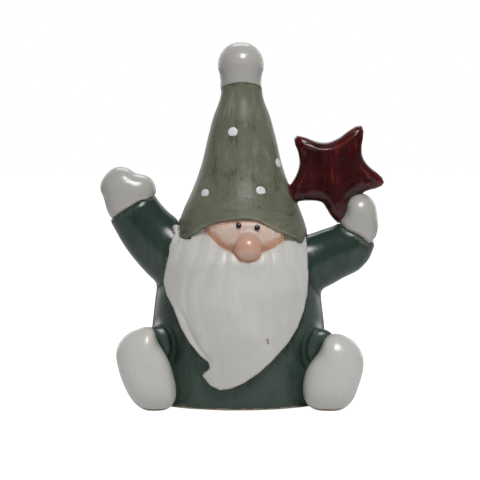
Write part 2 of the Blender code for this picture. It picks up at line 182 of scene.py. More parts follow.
def melted(piece, points, edges, rounds, where):
    """Melts flat facets into one curve, then swells the piece back by what it lost."""
    soft = points
    for _ in range(rounds):
        soft = soft + SPONGE_IN * where[:, None] * (neighbour_mean(soft, edges) - soft)
    normals = normals_of(piece)
    lost = np.einsum("ij,ij->i", points - soft, normals)
    for _ in range(SWELL_ROUNDS):
        lost = neighbour_mean(lost, edges)
    return soft + normals * lost[:, None]


# %% Finding the real edges
BEND_ROUNDS = 4
HOLD_SPREAD = 3
EDGE_BEND = (0.035, 0.11)  # in voxels


def standing_out(points, edges, normals, rounds):
    """How far each point stands out of its surroundings, in metres, and below zero in a hollow."""
    around = points
    for _ in range(rounds):
        around = neighbour_mean(around, edges)
    return np.einsum("ij,ij->i", points - around, normals)


def edge_hold(piece, points, edges, voxel):
    """0 on real edges and corners, 1 on the flats and gentle curves."""
    spread = np.abs(standing_out(points, edges, normals_of(piece), BEND_ROUNDS)) / voxel
    for _ in range(HOLD_SPREAD):
        spread = np.maximum(spread, neighbour_mean(spread, edges))
    return 1.0 - step(spread, *EDGE_BEND)


# %% [markdown]
# The frame keeps a gap of a third of a millimetre between solids. On the real object the parts are
# stuck together with slip, so each piece swells across the gap where a neighbour is near. The same
# measured distance is kept for the glazes, because glaze pools and colours bleed along a joint, and
# because the glazes are darkened along a joint as painted shade between the parts.

# %% Distance to the neighbours
def tree_of(nodes):
    """A search tree over the faces of some frame solids."""
    corners, faces = [], []
    for node_name in nodes:
        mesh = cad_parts[node_name].data
        start = len(corners)
        corners.extend(vertex.co.copy() for vertex in mesh.vertices)
        faces.extend([start + corner for corner in face.vertices] for face in mesh.polygons)
    return BVHTree.FromPolygons(corners, faces)


def distance_to(points, nodes, reach):
    """How far each point lies from the nearest of the given solids, at most reach."""
    tree = tree_of(nodes)
    found = np.full(len(points), reach)
    for index, point in enumerate(points):
        hit = tree.find_nearest(Vector(point), reach)
        if hit[0] is not None:
            found[index] = hit[3]
    return found


# %% Hand unevenness, and values kept for the glazes
SEED_STEP = (7.3, 3.1, 5.7)


def unevenness(points, size, seed):
    """Smooth noise between about -1 and 1, with bumps of the given size."""
    shift = Vector([seed * part for part in SEED_STEP])
    return np.array([noise.noise(Vector(point) / size + shift) for point in points])


def paint(piece, name, values):
    """Keeps one number per point for the glazes to read."""
    layer = piece.data.attributes.new(name, "FLOAT", "POINT")
    layer.data.foreach_set("value", np.asarray(values, dtype=np.float32))


def paint_near(piece, reach=6.0 * MM, **layers):
    """Keeps distances to solids, in millimetres, for the colours that bleed from them."""
    for name, nodes in layers.items():
        paint(piece, name, distance_to(points_of(piece), nodes, reach) / MM)


# %% [markdown]
# One function takes a casting through all of that: remesh, sponge, close the joints, add the slight
# unevenness of handwork, and measure where its edges, hollows and joints are. A sculpt function may
# shape it further before the measuring. Solids that were one casting are first grown into each other
# where they touch, so that one remesh wraps them all.

# %% Joining solids into one net
JOINT_CLOSE = 0.32 * MM
JOINT_OVERLAP = 1.6
JOINT_REACH = 2 * MM
JOINT_GAP = (0.40 * MM, 1.10 * MM)


def joined_net(name, nodes, voxel):
    """The net of one solid, or of several solids grown into each other and remeshed as one."""
    if len(nodes) == 1:
        return remeshed(solid_copy(name, nodes), voxel)
    grown = bmesh.new()
    for node_name in nodes:
        part = remeshed(solid_copy(node_name + "_part", [node_name]), voxel)
        points = points_of(part)
        others = [other for other in nodes if other != node_name]
        close = beside(distance_to(points, others, JOINT_REACH), *JOINT_GAP)
        move_points(part, pushed(part, points, close * JOINT_OVERLAP * JOINT_CLOSE))
        grown.from_mesh(part.data)
        bpy.data.objects.remove(part)
    return remeshed(new_piece(name, grown), voxel)


# %% Casting a piece
WAVE_HEIGHT, WAVE_LENGTH = 0.10 * MM, 9 * MM
RIPPLE_HEIGHT, RIPPLE_LENGTH = 0.025 * MM, 2.4 * MM
SEAM_REACH = 5.0 * MM
BULGE_ROUNDS = 8
EDGE_BULGE = (0.02 * MM, 0.16 * MM)
HOLLOW_DEPTH = (0.015 * MM, 0.12 * MM)
SEAM_GAP = (0.5 * MM, 3.0 * MM)
DROPS = [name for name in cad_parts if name.startswith("hat_dot") or name.endswith("_eye")]


def cast(name, nodes, voxel, sculpt=None, soft_rounds=6, flat_rounds=60):
    """A finished casting that stands for the given frame nodes."""
    piece = joined_net(name, nodes, voxel)
    edges = edges_of(piece)
    points = sponged(points_of(piece), edges, soft_rounds)
    move_points(piece, points)
    points = melted(piece, points, edges, flat_rounds, edge_hold(piece, points, edges, voxel))
    others = [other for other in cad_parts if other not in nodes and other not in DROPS]
    seam = distance_to(points, others, SEAM_REACH)
    move_points(piece, points)
    waves = (WAVE_HEIGHT * unevenness(points, WAVE_LENGTH, seed=1)
             + RIPPLE_HEIGHT * unevenness(points, RIPPLE_LENGTH, seed=2))
    points = pushed(piece, points, beside(seam, *JOINT_GAP) * JOINT_CLOSE + waves)
    move_points(piece, points)
    if sculpt:
        points = sculpt(piece, points, edges)
    points[:, 2] = np.maximum(points[:, 2], 0.0)
    move_points(piece, points)
    bulge = standing_out(points, edges, normals_of(piece), BULGE_ROUNDS)
    paint(piece, "edge", step(bulge, *EDGE_BULGE))
    paint(piece, "hollow", step(-bulge, *HOLLOW_DEPTH))
    paint(piece, "seam", beside(seam, *SEAM_GAP))
    piece.data.shade_smooth()
    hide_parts(*nodes)
    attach(piece, "root")
    print(name, "has", len(piece.data.polygons), "faces")
    return piece


# %% [markdown]
# ## The green body
# Coat, sleeves and the ends of the trouser legs are one glazed casting. Its belly swells forward, and
# whatever lies on it has to swell with it, so the beard and the base use the same function.

# %% The belly's swell
BELLY_SWELL = 0.13
BELLY_HEIGHTS = (24 * MM, 60 * MM)
BELLY_EASE = 6 * MM
coat_low, coat_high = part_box("coat_shell")
coat_middle = (coat_low + coat_high) / 2


def belly_swell(points):
    """How far the low front of the coat, and what lies on it, swells forward."""
    ahead = coat_middle[1] - points[:, 1]
    low_down = beside(points[:, 2], *BELLY_HEIGHTS)
    return BELLY_SWELL * low_down * ahead * step(ahead, 0.0, BELLY_EASE)


# %% [markdown]
# The trouser legs are pressed back into the coat until little more than a rolled cuff stands out
# round each foot, and what they leave is melted smooth, as a wet thumb would do.

# %% Trouser legs and cuffs
LEG_SINK = 0.65
LEG_SKIN = (0.8 * MM, 3.0 * MM)
LEG_MELT = (3.0 * MM, 5.5 * MM)
LEG_MELT_ROUNDS = 150
CUFF_ROLL = 0.6 * MM
CUFF_FROM_FOOT, CUFF_WIDTH = 1.3 * MM, 0.9 * MM
CUFF_SKIN = (1.5 * MM, 3.5 * MM)
FOOT_REACH = 4 * MM


def settled_legs(piece, points, edges, leg_gap):
    """Lets the trouser legs sink back into the coat, and rolls a thin cuff round the feet."""
    leg_low, leg_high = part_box("left_leg")
    ahead = np.maximum((leg_low[1] + leg_high[1]) / 2 - points[:, 1], 0.0)
    back = LEG_SINK * beside(leg_gap, *LEG_SKIN) * ahead
    points = points + np.stack([0 * back, back, 0 * back], axis=1)
    move_points(piece, points)
    points = melted(piece, points, edges, LEG_MELT_ROUNDS, beside(leg_gap, *LEG_MELT))
    foot_gap = distance_to(points, ["left_foot", "right_foot"], FOOT_REACH)
    cuff = ridge(foot_gap, CUFF_FROM_FOOT, CUFF_WIDTH) * beside(leg_gap, *CUFF_SKIN)
    return pushed(piece, points, CUFF_ROLL * cuff)


# %% [markdown]
# Where an arm leaves the coat the slip has been smoothed into a fillet, so the points near such a
# joint get extra sponging.

# %% Coat, sleeves and trouser legs
BODY_NODES = ["coat_shell", "left_sleeve", "right_sleeve", "left_leg", "right_leg"]
FILLET_REACH = 4 * MM
FILLET_GAP = (1.2 * MM, 3.2 * MM)
FILLET_ROUNDS = 40
COAT_SKIN = (0.8 * MM, 3.5 * MM)
FACING_FRONT = (-0.25, 0.25)
LAST_ROUNDS = 6


def body_shape(piece, points, edges):
    """Smooths the net wherever two of the body's solids meet, and swells the belly forward."""
    gaps = {name: distance_to(points, [name], FILLET_REACH) for name in BODY_NODES}
    second_gap = np.sort(np.stack(list(gaps.values())), axis=0)[1]
    points = sponged(points, edges, FILLET_ROUNDS, beside(second_gap, *FILLET_GAP))
    leg_gap = np.minimum(gaps["left_leg"], gaps["right_leg"])
    points = settled_legs(piece, points, edges, leg_gap)
    outside = step(-normals_of(piece)[:, 1], *FACING_FRONT)
    points[:, 1] -= belly_swell(points) * outside * beside(gaps["coat_shell"], *COAT_SKIN)
    return sponged(points, edges, LAST_ROUNDS)


body = cast("coat_and_sleeves", BODY_NODES, 0.55 * MM, body_shape)
paint_near(body, near_white=["beard", "left_foot", "right_foot", "right_mitten", "left_mitten"])

# %% [markdown]
# ## The hat
# A tall cone with a thin brim that arches over the face and droops at both ends of it. The cone
# isn't quite straight, but swells and narrows by a hair. The brim's edge is crisp, so the hat is
# sponged less.

# %% Hat
DROOP_LEFT, LEFT_SIDE = 3.2 * MM, (4 * MM, 16 * MM)
DROOP_RIGHT, RIGHT_SIDE = 1.5 * MM, (14 * MM, 25 * MM)
DROOP_FORWARD = 0.5
BRIM_FRONT = (4 * MM, 10 * MM)
BRIM_HEIGHT = (4 * MM, 20 * MM)
HAT_SWELL = 0.14 * MM
HAT_SWELL_FROM, HAT_SWELL_LENGTH = 99.4 * MM, 5.2 * MM
CONE_FOOT = (84 * MM, 92 * MM)
CONE_TOP = (134 * MM, 140 * MM)
hat_low, hat_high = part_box("hat_shell")


def drooping_brim(piece, points, edges):
    """Lets the brim droop over both ends of the face, further on the gnome's left."""
    x, y, z = points.T
    aside = DROOP_LEFT * step(x, *LEFT_SIDE) + DROOP_RIGHT * step(-x, *RIGHT_SIDE)
    droop = aside * step(-y, *BRIM_FRONT) * beside(z - hat_low[2], *BRIM_HEIGHT)
    cone = step(z, *CONE_FOOT) * beside(z, *CONE_TOP)
    swell = -HAT_SWELL * np.sin((z - HAT_SWELL_FROM) / HAT_SWELL_LENGTH) * cone
    points = pushed(piece, points, swell)
    return points + np.stack([0 * droop, -DROOP_FORWARD * droop, -droop], axis=1)


hat = cast("brushed_hat", ["hat_shell"], 0.5 * MM, drooping_brim, soft_rounds=5)
paint_near(hat, near_face=["face"], near_red=["star"], near_pompom=["pompom"])

# %% Pompom
pompom = cast("glazed_pompom", ["pompom"], 0.5 * MM)
paint_near(pompom, near_coat=["hat_shell"])

# %% [markdown]
# ## The beard
# The beard is modelled in the mould: a thick pad whose rim is rounded, with strands pressed into it
# that follow its outline from the moustache to the curled tip. A strand is a line of constant
# "share" between the beard's two edges at each height, so the outline is measured first.

# %% The beard's outline
SLICES = 50
SLICES_AVERAGED = 5
FRONT_PART = 0.75
NARROWEST = 4 * MM
beard_low, beard_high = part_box("beard")
nose_low, nose_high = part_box("nose")
nose_middle = (nose_low + nose_high) / 2


def outline_shares(points):
    """For each point, 0 at the edge on the viewer's left to 1 at the other, and the width there."""
    front = points[:, 1] < beard_low[1] + FRONT_PART * (beard_high[1] - beard_low[1])
    heights = np.linspace(beard_low[2], beard_high[2], SLICES)
    slice_of = np.digitize(points[:, 2], heights) - 1
    lows, highs = [], []
    for number in range(SLICES):
        here = points[front & (np.abs(slice_of - number) <= 1), 0]
        lows.append(here.min() if len(here) else 0.0)
        highs.append(here.max() if len(here) else 0.0)
    soft = np.ones(SLICES_AVERAGED) / SLICES_AVERAGED
    sides = []
    for side in (lows, highs):
        even = np.convolve(np.pad(side, SLICES_AVERAGED // 2, mode="edge"), soft, mode="valid")
        sides.append(np.interp(points[:, 2], heights, even))
    low, high = sides
    width = np.maximum(high - low, NARROWEST)
    return (points[:, 0] - low) / width, width


# %% [markdown]
# Seven broad strands run down the beard, and finer ones lie between them in patches. They are deepest
# at the top and drift a little sideways, so no two are alike. `rise` is 0 at the beard's tip and 1 at
# its top.

# %% Strands
BROAD_STRANDS, BROAD_DRIFT, BROAD_START, BROAD_BLUNT = 7.0, 0.55, 0.2, 0.3
NARROW_STRANDS, NARROW_DRIFT, NARROW_BLUNT, NARROW_DEPTH = 17.0, 0.9, 0.4, 0.25
DRIFT_LENGTH, DRIFT_STRETCH = 14 * MM, (1.0, 1.0, 0.35)
PATCH_LENGTH, PATCH_EDGE = 16 * MM, (-0.35, 0.35)
FAN_OUT, FAN_RISE = 0.35, (0.5, 0.95)
RIM_SHARE = (0.02, 0.09)
UPPER_RISE = (0.25, 0.8)
LOWER_DEPTH = 0.35


def blunt_waves(turns, bluntness):
    """A row of ridges, 1 high, whose grooves are round instead of sharp."""
    return np.hypot(np.sin(math.pi * turns), bluntness) / math.hypot(1.0, bluntness)


def strand_grooves(points, edge_share, rise):
    """0 on the crests of the strands, and up to about 1 in the grooves between them."""
    share = 0.5 + (edge_share - 0.5) * (1.0 + FAN_OUT * step(rise, *FAN_RISE))
    inside = step(0.5 - np.abs(edge_share - 0.5), *RIM_SHARE)
    drift = unevenness(points * DRIFT_STRETCH, DRIFT_LENGTH, seed=3)
    broad = blunt_waves(BROAD_STRANDS * share + BROAD_DRIFT * drift + BROAD_START, BROAD_BLUNT)
    narrow = blunt_waves(NARROW_STRANDS * share + NARROW_DRIFT * drift, NARROW_BLUNT)
    patches = step(unevenness(points, PATCH_LENGTH, seed=5), *PATCH_EDGE)
    upper = step(rise, *UPPER_RISE)
    depth = LOWER_DEPTH + (1.0 - LOWER_DEPTH) * upper
    return ((1.0 - broad) * depth + NARROW_DEPTH * (1.0 - narrow) * patches * upper) * inside


# %% [markdown]
# The moustache is two low lobes that fall away from under the nose. Along the edge on the viewer's
# left, one fold stands up a little with a groove beside it.

# %% Moustache and fold
LOBE_ASIDE, LOBE_WIDTH = 8.5 * MM, 6.5 * MM
LOBE_UP, LOBE_HEIGHT = 1.5 * MM, 3.6 * MM
LOBE_FALL = 0.25
FOLD_FROM, FOLD_TO = (0.13, 0.2), (0.42, 0.56)
FOLD_AT, FOLD_RISE = 1.8 * MM, 0.25 * MM
GROOVE_AT, GROOVE_DEPTH = 4.2 * MM, 0.40 * MM
FOLD_WIDTH, GROOVE_WIDTH = 1.0 * MM, math.sqrt(1.4) * MM


def moustache_lobes(points):
    """1 on the crests of the moustache's two halves, and 0 elsewhere."""
    from_nose = points[:, 0] - nose_middle[0]
    up = points[:, 2] - nose_low[2] - LOBE_UP + LOBE_FALL * np.abs(from_nose)
    halves = ridge(from_nose, -LOBE_ASIDE, LOBE_WIDTH) + ridge(from_nose, LOBE_ASIDE, LOBE_WIDTH)
    return halves * ridge(up, 0.0, LOBE_HEIGHT)


def edge_fold(inset, rise):
    """How far the fold stands out, and its groove in, in metres."""
    height = step(rise, *FOLD_FROM) * beside(rise, *FOLD_TO)
    fold = FOLD_RISE * ridge(inset, FOLD_AT, FOLD_WIDTH)
    return height * (fold - GROOVE_DEPTH * ridge(inset, GROOVE_AT, GROOVE_WIDTH))


# %% [markdown]
# The top corners end in thin points beside the face. The one on the viewer's left is filled out into
# a fin, both are sponged round, and the sharp tips are tucked back behind the brim.

# %% The beard's top corners
FIN_HEIGHT, FIN_SIDE = (70 * MM, 74 * MM), (26.5 * MM, 28 * MM)
FIN_SWELL, FIN_SHIFT, FIN_TIP = 0.4 * MM, 1.7 * MM, (-29.7 * MM, -28.8 * MM)
CORNER_HEIGHT, CORNER_SIDE, CORNER_ROUNDS = (68 * MM, 71 * MM), (21 * MM, 24 * MM), 40
TUCK = 3.5 * MM
TOOTH_HEIGHT = (72.8 * MM, 74.2 * MM)
TOOTH_FROM, TOOTH_TO = (-27.6 * MM, -26.4 * MM), (-23 * MM, -21 * MM)
SPUR_HEIGHT, SPUR_SIDE = (70.5 * MM, 72.5 * MM), (24 * MM, 26 * MM)


def soft_corners(piece, points, edges):
    """Fills out, sponges and tucks back the beard's two top corners."""
    fin = step(points[:, 2], *FIN_HEIGHT) * step(-points[:, 0], *FIN_SIDE)
    points = pushed(piece, points, FIN_SWELL * fin)
    points[:, 0] += FIN_SHIFT * fin * step(points[:, 0], *FIN_TIP)
    corner = step(points[:, 2], *CORNER_HEIGHT) * step(np.abs(points[:, 0]), *CORNER_SIDE)
    points = sponged(points, edges, CORNER_ROUNDS, corner)
    across = step(points[:, 0], *TOOTH_FROM) * beside(points[:, 0], *TOOTH_TO)
    points[:, 1] += TUCK * step(points[:, 2], *TOOTH_HEIGHT) * across
    points[:, 1] += TUCK * step(points[:, 2], *SPUR_HEIGHT) * step(points[:, 0], *SPUR_SIDE)
    return points


# %% Beard
STRAND_DEPTH = 0.48 * MM
LOBE_RISE = 0.30 * MM
BEARD_FRONT = (0.1, 0.6)
BEARD_ROUNDS = 6


def beard_shape(piece, points, edges):
    """Presses the strands, raises the moustache and the fold, and softens the corners."""
    edge_share, width = outline_shares(points)
    rise = (points[:, 2] - beard_low[2]) / (beard_high[2] - beard_low[2])
    facing = step(-normals_of(piece)[:, 1], *BEARD_FRONT)
    lift = LOBE_RISE * moustache_lobes(points) + edge_fold(edge_share * width, rise)
    lift = facing * (lift - STRAND_DEPTH * strand_grooves(points, edge_share, rise))
    points = sponged(pushed(piece, points, lift), edges, BEARD_ROUNDS)
    move_points(piece, points)
    points = soft_corners(piece, points, edges)
    points[:, 1] -= belly_swell(points)
    return points


beard = cast("beard_strands", ["beard"], 0.38 * MM, beard_shape, soft_rounds=8, flat_rounds=140)
paint_near(beard, near_face=["face"], near_nose=["nose"],
           near_coat=["coat_shell", "left_sleeve", "right_sleeve"])

# %% [markdown]
# One grain of iron has burnt a short dark fleck into the beard. The distance to it is painted on
# like a neighbour's, and its colour bleeds from there.

# %% Fleck
FLECK_ASIDE, FLECK_UP = 8.6 * MM, 20.3 * MM
FLECK_LEAN, FLECK_SHORTEN = 0.3, 0.45
fleck_x, _, fleck_z = (points_of(beard) - (nose_middle[0] + FLECK_ASIDE, 0.0, beard_low[2] + FLECK_UP)).T
paint(beard, "near_fleck", np.hypot(fleck_x + FLECK_LEAN * fleck_z, FLECK_SHORTEN * fleck_z) / MM)

# %% [markdown]
# ## Face, nose and eyes
# The face is a small cushion of clay between brim and beard. The nose is a ball pressed on, with a
# rolled crease of slip over its top.

# %% Face
CREASE_RISE = 0.55 * MM
CREASE_GAP, CREASE_WIDTH = 1.3 * MM, 0.95 * MM
CREASE_ABOVE = (-2 * MM, 3 * MM)


def nose_crease(piece, points, edges):
    """Raises a soft ring of clay round the upper side of the nose."""
    ring = ridge(distance_to(points, ["nose"], SEAM_REACH), CREASE_GAP, CREASE_WIDTH)
    above = step(points[:, 2] - nose_middle[2], *CREASE_ABOVE)
    return pushed(piece, points, CREASE_RISE * ring * above)


face = cast("painted_face", ["face"], 0.35 * MM, nose_crease, soft_rounds=10)
paint_near(face, reach=3 * MM, near_eye=["left_eye", "right_eye"])
paint_near(face, near_white=["beard"], near_hat=["hat_shell"])

# %% [markdown]
# Nose, mittens and feet are plain rounded forms, so they are melted everywhere, edges too. The more
# rounds one gets, the plainer it is.

# %% Nose
BALL_ROUNDS = 90


def rounded(rounds):
    """Makes a sculpt function that melts a whole piece for some rounds."""
    def melt_everywhere(piece, points, edges):
        move_points(piece, points)
        return melted(piece, points, edges, rounds, np.ones(len(points)))
    return melt_everywhere


nose = cast("painted_nose", ["nose"], 0.3 * MM, rounded(BALL_ROUNDS), soft_rounds=10)

# %% [markdown]
# The eyes are two drops of black enamel. A drop spreads a little where it is set down, and sinks.

# %% Eyes
SIDES = ("left", "right")
EYE_SPREAD = (1.2, 1.0, 1.2)
EYE_SHIFT = (0.0, 0.15 * MM, 0.35 * MM)


def spread_drop(piece, points, edges):
    """Lets an enamel drop spread a little, and stand slightly lower and further forward."""
    middle = (points.min(axis=0) + points.max(axis=0)) / 2
    return middle + (points - middle) * EYE_SPREAD - EYE_SHIFT


eyes = [cast(side + "_eye_drop", [side + "_eye"], 0.12 * MM, spread_drop, soft_rounds=10, flat_rounds=10)
        for side in SIDES]

# %% [markdown]
# ## Hands and feet
# The left mitten grips the star and is one smooth lump. The right one waves and keeps a hint of its
# thumb, so it is melted for fewer rounds. The feet are as plain as the nose. Their look is all in the
# white glaze, the joint line to the sleeve and the bare clay line along the sole.

# %% Mittens and feet
HAND_ROUNDS = {"left": 220, "right": 20}

mittens = [cast(side + "_mitten_glazed", [side + "_mitten"], 0.42 * MM, rounded(HAND_ROUNDS[side]),
                soft_rounds=10) for side in SIDES]
feet = [cast(side + "_foot_glazed", [side + "_foot"], 0.45 * MM, rounded(BALL_ROUNDS), soft_rounds=12)
        for side in SIDES]
for piece in mittens:
    paint_near(piece, near_coat=["left_sleeve", "right_sleeve"])
for piece in feet:
    paint_near(piece, near_coat=["left_leg", "right_leg", "coat_shell"])

# %% [markdown]
# ## The star
# A thick five-pointed star with a bevelled rim. The bevel ends in a soft crease a few millimetres
# inside the outline, which catches the light as a thin line, and the flat inside it is slightly
# dished. The distance to the outline is measured in the star's own plane, from the points that lie
# on its middle. Above the hand the star's edge is hollowed, where it helps to make a round loop.

# %% Star
RIM_BAND = 0.5 * MM
BEVEL_WIDTH = 3.1 * MM
BEVEL_CREASE, BEVEL_CREASE_WIDTH = 0.34 * MM, 0.7 * MM
CREASE_LOWEST, CREASE_SLOPE = 0.25, (0.1, 0.7)
DISH_DEPTH, DISH_WIDTH = 0.30 * MM, 5 * MM
SMALLEST_INSET = 0.3 * MM
star_low, star_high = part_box("star")
ARCH_X, ARCH_Z = star_low[0] + 11.5 * MM, star_low[2] + 9.5 * MM
ARCH_REACH, ARCH_SHIFT = 4.5 * MM, 2.0 * MM


def bevelled_star(piece, points, edges):
    """Raises a thin crease along the upper rims, where the bevel meets the flat of the star."""
    middle = (star_low[1] + star_high[1]) / 2
    rim = points[np.abs(points[:, 1] - middle) < RIM_BAND]
    tree = KDTree(len(rim))
    for index, (x, _, z) in enumerate(rim):
        tree.insert(Vector((x, 0.0, z)), index)
    tree.balance()
    found = [tree.find(Vector((x, 0.0, z))) for x, _, z in points]
    inset = np.array([hit[2] for hit in found])
    rim_above = np.array([hit[0].z for hit in found]) - points[:, 2]
    upper = step(rim_above / np.maximum(inset, SMALLEST_INSET), *CREASE_SLOPE)
    crease = ridge(inset, BEVEL_WIDTH, BEVEL_CREASE_WIDTH) * (CREASE_LOWEST + (1.0 - CREASE_LOWEST) * upper)
    dish = step(inset, BEVEL_WIDTH, BEVEL_WIDTH + DISH_WIDTH)
    out = np.sign(points[:, 1] - middle) * (BEVEL_CREASE * crease - DISH_DEPTH * dish)
    aside = ARCH_SHIFT * ridge(points[:, 0], ARCH_X, ARCH_REACH) * ridge(points[:, 2], ARCH_Z, ARCH_REACH)
    return points + np.stack([aside, out, 0 * out], axis=1)


star = cast("glazed_star", ["star"], 0.42 * MM, bevelled_star, soft_rounds=8)
paint_near(star, near_white=["left_mitten"])

# %% [markdown]
# ## Dots and base
# The dots on the hat are drops of thick white enamel, so each is a low dome with a slightly wavy
# rim.

# %% Dots
DOT_RISE = 0.5
DOT_INSIDE = 0.5 * MM
DOT_TILT = 0.25
DOT_WAVE, DOT_WAVE_LENGTH = 0.10, 1.6 * MM
dot_nodes = sorted(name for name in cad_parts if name.startswith("hat_dot"))


def flattened_drop(piece, points, edges):
    """Presses a dot down towards the hat until it is a low drop of enamel."""
    middle = (points.min(axis=0) + points.max(axis=0)) / 2
    outward = middle - np.array((hat_low + hat_high) / 2)
    outward[2] = DOT_TILT * math.hypot(outward[0], outward[1])
    outward /= np.linalg.norm(outward)
    inner = middle - outward * DOT_INSIDE
    rise = (points - inner) @ outward
    lowered = np.where(rise > 0, rise * DOT_RISE, rise)
    wobble = 1.0 + DOT_WAVE * unevenness(points, DOT_WAVE_LENGTH, seed=8)
    flat = (points - inner) - rise[:, None] * outward
    return inner + flat * wobble[:, None] + lowered[:, None] * outward


dots = [cast(name + "_enamel", [name], 0.2 * MM, flattened_drop, soft_rounds=8, flat_rounds=10)
        for name in dot_nodes]

# %% [markdown]
# The base is the unglazed slab that closes the casting, with its drain hole. Its front edge follows
# the coat above it.

# %% Base slab
def swelled_front(piece, points, edges):
    """Follows the coat's front as it swells."""
    points[:, 1] -= belly_swell(points)
    return points


base = cast("biscuit_base", ["base_plate"], 0.6 * MM, swelled_front, soft_rounds=4, flat_rounds=20)

# %% [markdown]
# ## Glaze
# A brushed glaze is never one colour. Where the brush left little, the clay shines through and the
# colour is thin and warm. Where it pooled, it is darker. So each glaze has three colours, and one
# group works out how thick it lies from brush streaks, broad clouds, a fine mottle, the edges that
# it drew back from and the hollows that it ran into. Thick glaze also melts smoother than thin.

# %% Small helpers for shader nodes
def node(tree, kind, inputs=None, **settings):
    """Adds a shader node. inputs holds plain values, or the sockets that feed them."""
    made = tree.nodes.new("ShaderNode" + kind)
    for key, value in settings.items():
        setattr(made, key, value)
    for key, value in (inputs or {}).items():
        if isinstance(value, bpy.types.NodeSocket):
            tree.links.new(value, made.inputs[key])
        else:
            made.inputs[key].default_value = value
    return made


def math_of(tree, how, one, two=0.0):
    return node(tree, "Math", {0: one, 1: two}, operation=how).outputs[0]


def plus_share(tree, base, value, share):
    """base, plus a share of value."""
    return math_of(tree, "ADD", base, math_of(tree, "MULTIPLY", value, share))


def height_of(tree, place):
    return node(tree, "SeparateXYZ", {0: place}).outputs["Z"]


def mixed(tree, amount, one, two):
    """Two colours mixed by an amount."""
    return node(tree, "Mix", {0: amount, 6: one, 7: two}, data_type="RGBA").outputs[2]


def ramped(tree, value, low, high, to_low=0.0, to_high=1.0):
    """A value stretched from one range to another, with soft ends."""
    made = node(tree, "MapRange", {0: value, 1: low, 2: high, 3: to_low, 4: to_high},
                interpolation_type="SMOOTHSTEP")
    return made.outputs[0]


def patchy(tree, where, size, swing=0.5, detail=3.0, roughness=0.55, soft=0.2):
    """Noise with patches about one size wide, between minus and plus the swing."""
    made = node(tree, "TexNoise", {"Vector": where, "Scale": 1.0 / size, "Detail": detail,
                                   "Roughness": roughness})
    return ramped(tree, made.outputs["Fac"], 0.5 - soft, 0.5 + soft, -swing, swing)


def new_group(name, inputs, outputs):
    """An empty shader group, the sockets that it is given, and those that it gives back."""
    group = bpy.data.node_groups.new(name, "ShaderNodeTree")
    for label, kind, value in inputs:
        socket = group.interface.new_socket(label, in_out="INPUT", socket_type="NodeSocket" + kind)
        if value is not None:
            socket.default_value = value
    for label, kind in outputs:
        group.interface.new_socket(label, in_out="OUTPUT", socket_type="NodeSocket" + kind)
    start, end = group.nodes.new("NodeGroupInput"), group.nodes.new("NodeGroupOutput")
    return group, start.outputs, end.inputs


def place_group(tree, group, inputs):
    return node(tree, "Group", inputs, node_tree=group)


def tone(red, green, blue):
    """A colour as it looks, from 0 to 255, as the linear values that shaders use."""
    parts = []
    for part in (red, green, blue):
        part = part / 255.0
        parts.append(part / 12.92 if part <= 0.04045 else ((part + 0.055) / 1.055) ** 2.4)
    return (*parts, 1.0)


# %% The brushed glaze group
STREAK_SIZE, WIDE_STREAK_SIZE, CLOUD_SIZE, MOTTLE_SIZE = 1.5 * MM, 4.2 * MM, 13 * MM, 0.9 * MM
EDGE_THINS, HOLLOW_POOLS = 0.9, 0.8
THIN_FROM, THIN_TO = -0.1, -0.9
POOLED_FROM, POOLED_TO = 0.1, 0.9
THICKNESS_RANGE = (-0.8, 0.8)
THIN_ROUGH, THICK_ROUGH, MOTTLE_ROUGH = 0.36, 0.24, 0.05
THICKNESS_HEIGHT, MOTTLE_HEIGHT = 0.5, 0.12


def brushed_glaze_group():
    group, given, result = new_group(
        "brushed_glaze",
        [("Place", "Vector", None), ("Along Brush", "Vector", None),
         ("Thin Colour", "Color", None), ("Full Colour", "Color", None), ("Pooled Colour", "Color", None),
         ("Streaks", "Float", 0.6), ("Clouds", "Float", 0.5), ("Mottle", "Float", 0.25),
         ("Edge", "Float", 0.0), ("Hollow", "Float", 0.0)],
        [("Color", "Color"), ("Roughness", "Float"), ("Height", "Float")])
    streaks = patchy(group, given["Along Brush"], STREAK_SIZE, detail=2.0, roughness=0.6)
    wide = patchy(group, given["Along Brush"], WIDE_STREAK_SIZE, detail=1.0)
    clouds = patchy(group, given["Place"], CLOUD_SIZE, detail=2.0)
    mottle = patchy(group, given["Place"], MOTTLE_SIZE, detail=2.0, soft=0.25)
    brushed = math_of(group, "MULTIPLY", math_of(group, "ADD", streaks, wide), given["Streaks"])
    laid = plus_share(group, brushed, clouds, given["Clouds"])
    laid = plus_share(group, laid, mottle, given["Mottle"])
    laid = plus_share(group, laid, given["Edge"], -EDGE_THINS)
    laid = plus_share(group, laid, given["Hollow"], HOLLOW_POOLS)
    thin = ramped(group, laid, THIN_FROM, THIN_TO)
    pooled = ramped(group, laid, POOLED_FROM, POOLED_TO)
    colour = mixed(group, thin, given["Full Colour"], given["Thin Colour"])
    colour = mixed(group, pooled, colour, given["Pooled Colour"])
    rough = ramped(group, laid, *THICKNESS_RANGE, THIN_ROUGH, THICK_ROUGH)
    rough = plus_share(group, rough, mottle, MOTTLE_ROUGH)
    height = math_of(group, "MULTIPLY", laid, THICKNESS_HEIGHT)
    height = plus_share(group, height, mottle, MOTTLE_HEIGHT)
    group.links.new(colour, result["Color"])
    group.links.new(rough, result["Roughness"])
    group.links.new(height, result["Height"])
    return group


BRUSHED_GLAZE = brushed_glaze_group()
print("made the group", BRUSHED_GLAZE.name)

# %% [markdown]
# Three more effects appear on several glazes. A neighbour's colour bleeds a little way over a joint,
# with a ragged front. Tiny specks of iron burn dark in the kiln, a few to the square centimetre. And
# the foot ring is wiped clean before firing, so a line of bare biscuit shows along the ground.

